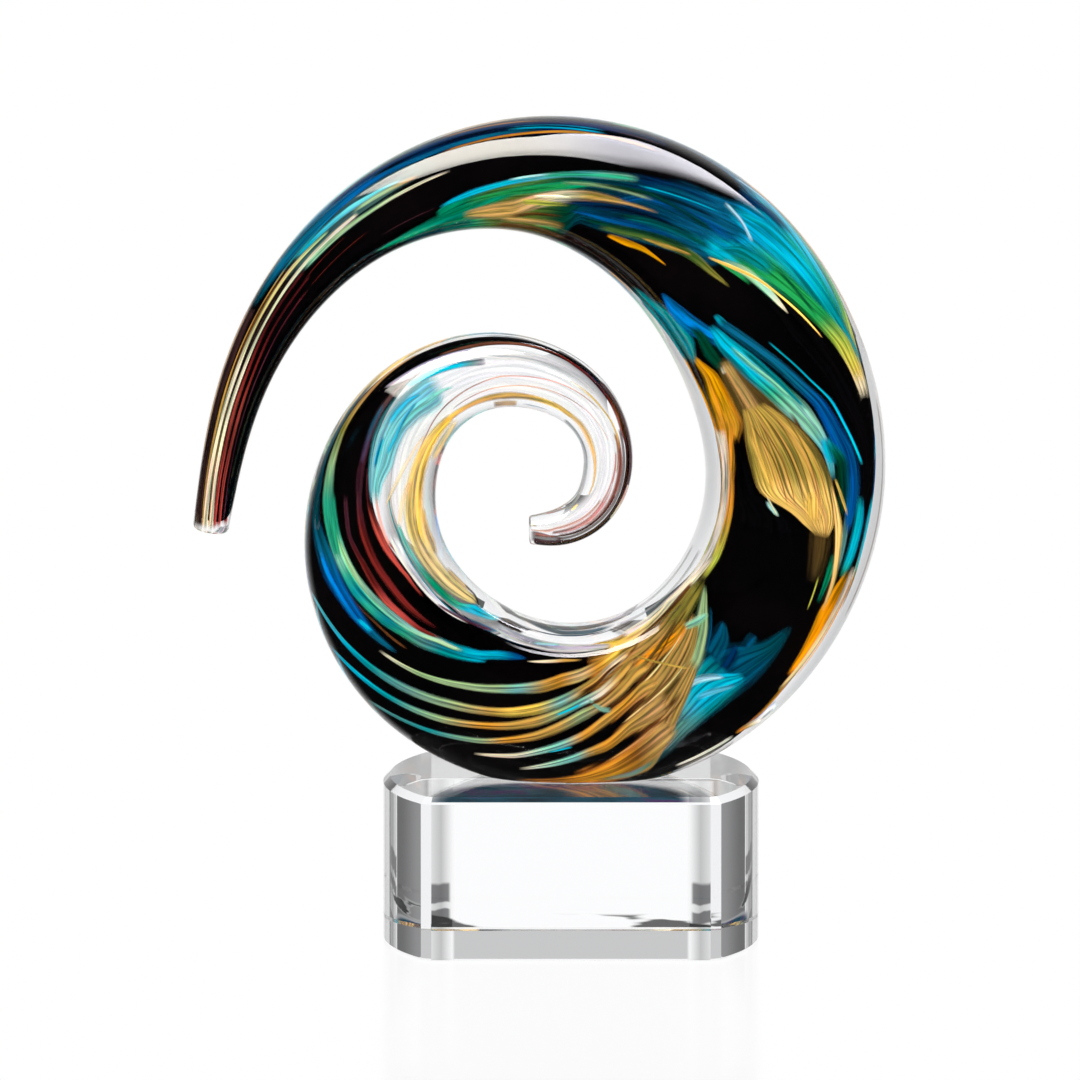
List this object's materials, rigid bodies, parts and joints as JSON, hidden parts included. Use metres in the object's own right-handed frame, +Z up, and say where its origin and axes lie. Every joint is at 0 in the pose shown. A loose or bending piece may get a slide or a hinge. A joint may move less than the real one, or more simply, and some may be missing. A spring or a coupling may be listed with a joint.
{
  "type": "glass wave sculpture",
  "caption": "Tapering glass spiral with twisted ribbons of coloured glass inside, bonded to a clear block with flat front and back and rounded ends.",
  "frame": {"origin": "centre of the flat underside of the clear block", "axes": "+Z up, the front of the sculpture faces -Y, +X to the viewer's right, so the free outer tip hangs on the -X side"},
  "size_m": [0.1879, 0.064, 0.2271],
  "materials": {
    "optical_crystal": "polished optical crystal, clear",
    "clear_adhesive": "clear cured adhesive",
    "clear_glass": "fire-polished clear glass",
    "black_glass": "opaque black glass",
    "cream_glass": "opal cream glass with fine dark lines",
    "aubergine_glass": "dark red-brown transparent glass",
    "blue_glass": "blue transparent glass",
    "emerald_glass": "green transparent glass",
    "gold_glass": "gold-amber transparent glass",
    "amber_glass": "amber transparent glass",
    "smoky_glass": "smoky teal transparent glass",
    "teal_glass": "teal transparent glass",
    "aqua_glass": "aqua transparent glass",
    "rose_glass": "rose-brown transparent glass"
  },
  "bodies": {
    "root": {"base_block": "optical_crystal", "bond_film": "clear_adhesive", "spiral_casing": "clear_glass", "dark_core": "black_glass", "clear_core": "clear_glass", "cream_ribbon": "cream_glass", "aubergine_ribbons": "aubergine_glass", "blue_ribbons": "blue_glass", "dark_ribbons": "black_glass", "emerald_ribbon": "emerald_glass", "gold_ribbon": "gold_glass", "amber_ribbons": "amber_glass", "smoky_feather": "smoky_glass", "amber_fan": "amber_glass", "teal_ribbon": "teal_glass", "aqua_ribbon": "aqua_glass", "rose_ribbons": "rose_glass"}
  },
  "joints": []
}
